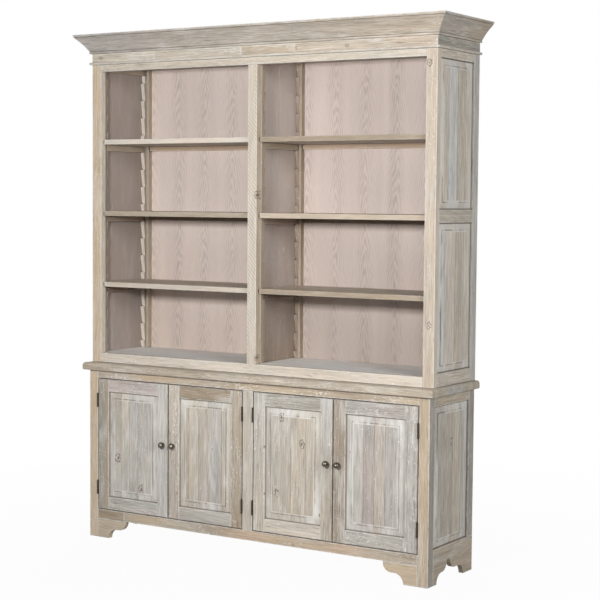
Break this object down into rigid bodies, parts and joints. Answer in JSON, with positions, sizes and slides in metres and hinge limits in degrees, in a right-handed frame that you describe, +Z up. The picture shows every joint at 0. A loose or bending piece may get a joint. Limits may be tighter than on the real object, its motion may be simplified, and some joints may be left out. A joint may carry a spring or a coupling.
{
  "type": "bookcase with cupboards",
  "caption": "Tall limed pine bookcase: open bays with adjustable shelves on toothed racks under a moulded cornice, above panelled cupboard doors on butt hinges, on bracket feet.",
  "frame": {"origin": "middle of the footprint, on the floor", "axes": "+Z up, -Y out of the doors, +X to the right as seen from the front"},
  "size_m": [1.884, 0.438, 2.28],
  "materials": {
    "tan_pine": "sawn pine, thin limewash",
    "limed_pine": "brushed pine, grey limewash",
    "inner_pine": "matt grey-brown stain",
    "oak_veneer": "pinkish limed oak veneer",
    "dark_iron": "dark bronzed iron",
    "antique_brass": "aged, polished at the crown"
  },
  "bodies": {
    "carcass": {"worktop": "limed_pine", "base_face_frame": "tan_pine", "foot_bracket_front_left": "tan_pine", "foot_bracket_front_right": "tan_pine", "base_side_frame_left": "limed_pine", "base_side_panel_left": "limed_pine", "base_side_frame_right": "limed_pine", "base_side_panel_right": "limed_pine", "cupboard_floor": "inner_pine", "cupboard_partition": "inner_pine", "cupboard_back": "oak_veneer", "upper_face_frame": "tan_pine", "upper_side_frame_left": "limed_pine", "upper_side_panel_left_lower": "limed_pine", "upper_side_panel_left_upper": "limed_pine", "upper_side_frame_right": "limed_pine", "upper_side_panel_right_lower": "limed_pine", "upper_side_panel_right_upper": "limed_pine", "centre_divider": "inner_pine", "bookcase_back": "oak_veneer", "bookcase_floor": "inner_pine", "cornice": "limed_pine", "shelf_rack_left_bay_left": "inner_pine", "shelf_rack_left_bay_right": "inner_pine", "shelf_left_1": "limed_pine", "shelf_left_2": "limed_pine", "shelf_left_3": "limed_pine", "shelf_rack_right_bay_left": "inner_pine", "shelf_rack_right_bay_right": "inner_pine", "shelf_right_1": "limed_pine", "shelf_right_2": "limed_pine", "shelf_right_3": "limed_pine", "door_1_lower_hinge_frame_leaf": "dark_iron", "door_1_upper_hinge_frame_leaf": "dark_iron", "door_2_lower_hinge_frame_leaf": "dark_iron", "door_2_upper_hinge_frame_leaf": "dark_iron", "door_3_lower_hinge_frame_leaf": "dark_iron", "door_3_upper_hinge_frame_leaf": "dark_iron", "door_4_lower_hinge_frame_leaf": "dark_iron", "door_4_upper_hinge_frame_leaf": "dark_iron"},
    "door_1": {"door_1_frame": "limed_pine", "door_1_panel": "limed_pine", "door_1_knob": "antique_brass", "door_1_lower_hinge_door_leaf": "dark_iron", "door_1_upper_hinge_door_leaf": "dark_iron"},
    "door_2": {"door_2_frame": "limed_pine", "door_2_panel": "limed_pine", "door_2_knob": "antique_brass", "door_2_lower_hinge_door_leaf": "dark_iron", "door_2_upper_hinge_door_leaf": "dark_iron"},
    "door_3": {"door_3_frame": "limed_pine", "door_3_panel": "limed_pine", "door_3_knob": "antique_brass", "door_3_lower_hinge_door_leaf": "dark_iron", "door_3_upper_hinge_door_leaf": "dark_iron"},
    "door_4": {"door_4_frame": "limed_pine", "door_4_panel": "limed_pine", "door_4_knob": "antique_brass", "door_4_lower_hinge_door_leaf": "dark_iron", "door_4_upper_hinge_door_leaf": "dark_iron"}
  },
  "joints": [
    {"name": "door_1_swing", "type": "hinge", "parent": "carcass", "child": "door_1", "pos_m": [-0.8255, -0.1815, 0.431], "axis": [0, 0, -1], "range_deg": [0, 170]},
    {"name": "door_2_swing", "type": "hinge", "parent": "carcass", "child": "door_2", "pos_m": [-0.0275, -0.1815, 0.431], "axis": [0, 0, 1], "range_deg": [0, 88]},
    {"name": "door_3_swing", "type": "hinge", "parent": "carcass", "child": "door_3", "pos_m": [0.0275, -0.1815, 0.431], "axis": [0, 0, -1], "range_deg": [0, 88]},
    {"name": "door_4_swing", "type": "hinge", "parent": "carcass", "child": "door_4", "pos_m": [0.8255, -0.1815, 0.431], "axis": [0, 0, 1], "range_deg": [0, 170]}
  ]
}
